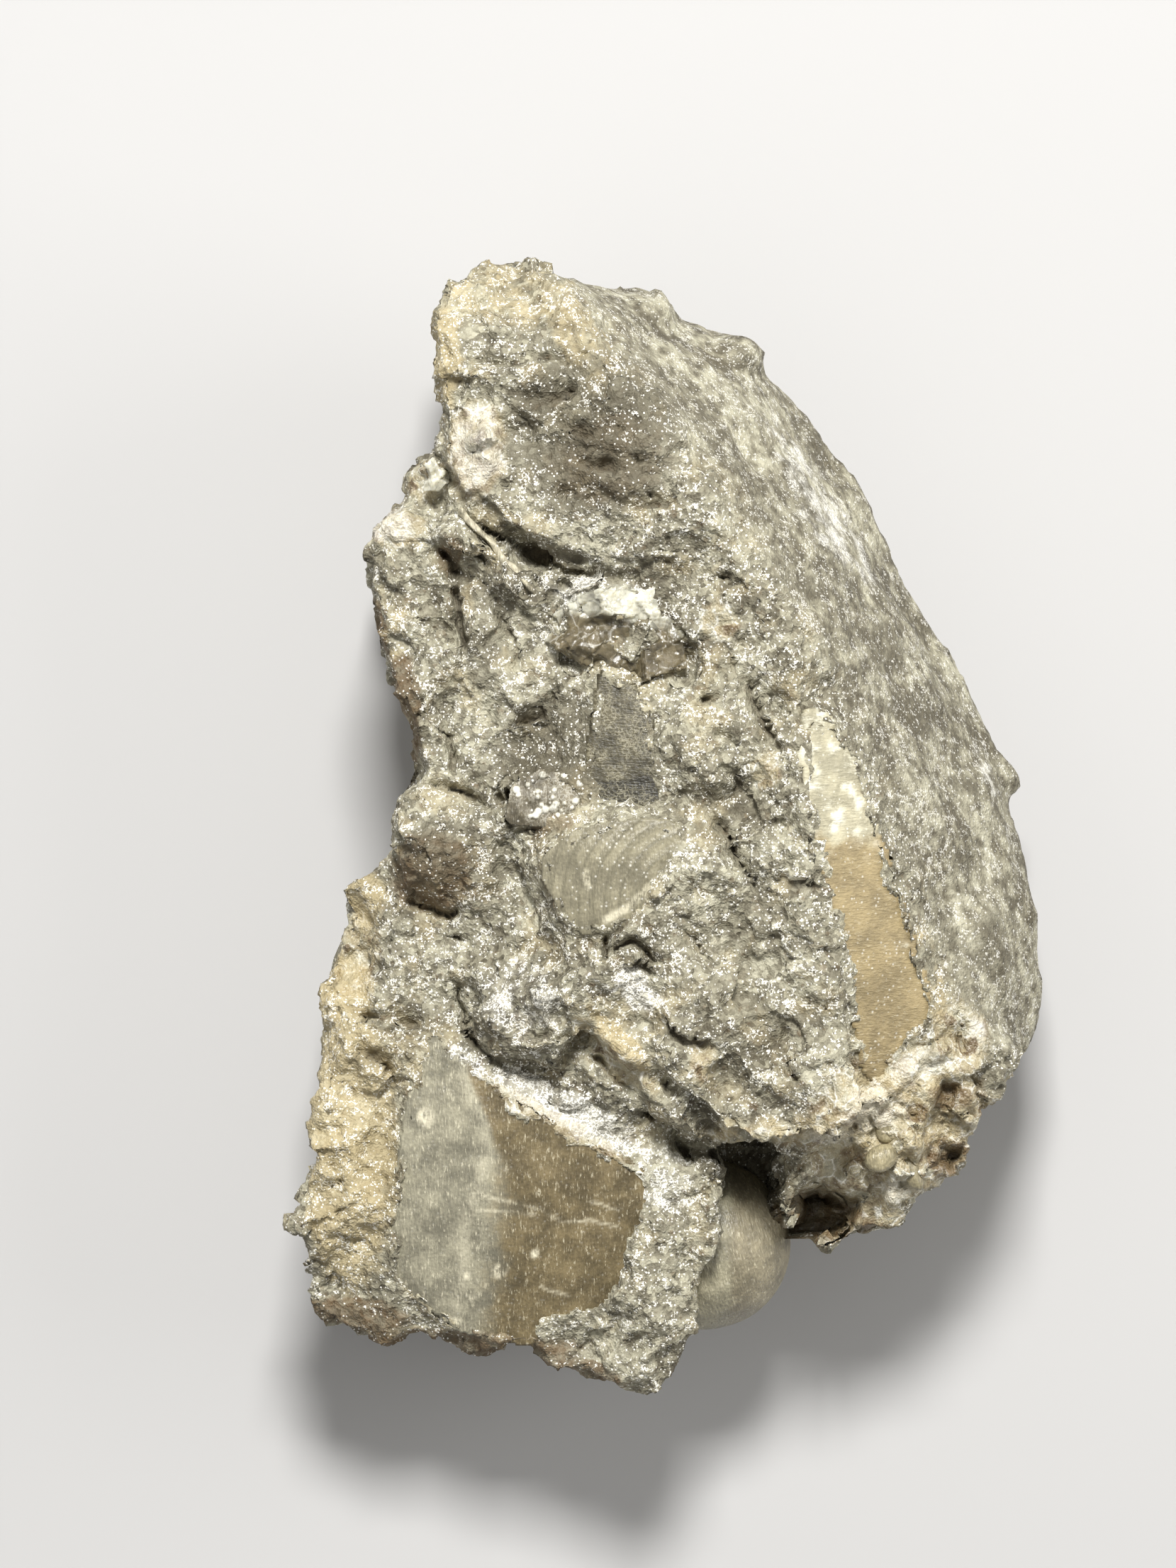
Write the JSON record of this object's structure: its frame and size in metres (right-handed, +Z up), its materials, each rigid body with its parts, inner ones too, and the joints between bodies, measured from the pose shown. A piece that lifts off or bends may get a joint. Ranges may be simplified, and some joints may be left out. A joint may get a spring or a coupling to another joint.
{
  "type": "trilobite fossil in limestone matrix",
  "caption": "Loose chunk of grey fossil-bearing limestone with smooth trilobite shell pieces and a small cluster of calcite crystals set in its broken face.",
  "frame": {"origin": "on the resting plane, under the middle of the chunk's bounding box", "axes": "+Z up through the fossil face, +Y along the chunk's length towards its narrow end, +X towards the weathered flank"},
  "size_m": [0.03, 0.045, 0.0177],
  "materials": {
    "limestone": null,
    "smooth_shell": "smooth grey to olive-brown fossil shell with a soft sheen",
    "domed_shell": "smooth olive-grey fossil shell with a soft sheen",
    "buff_shell": "tan to cream fossil shell, finely granular",
    "ribbed_shell": "grey-olive fossil shell with growth lines",
    "grey_shell": "dark grey fibrous fossil shell",
    "beaded_shell": "pale fossil shell with small beads",
    "pale_shell": "pale edge of a thin fossil shell",
    "calcite": "cloudy white and brown translucent calcite"
  },
  "bodies": {
    "root": {"limestone_matrix": "limestone", "shell_plate": "smooth_shell", "domed_shell": "domed_shell", "buff_shell": "buff_shell", "ribbed_shell": "ribbed_shell", "grey_shell": "grey_shell", "beaded_shell": "beaded_shell", "shell_sliver": "pale_shell", "calcite_crystals": "calcite"}
  },
  "joints": []
}
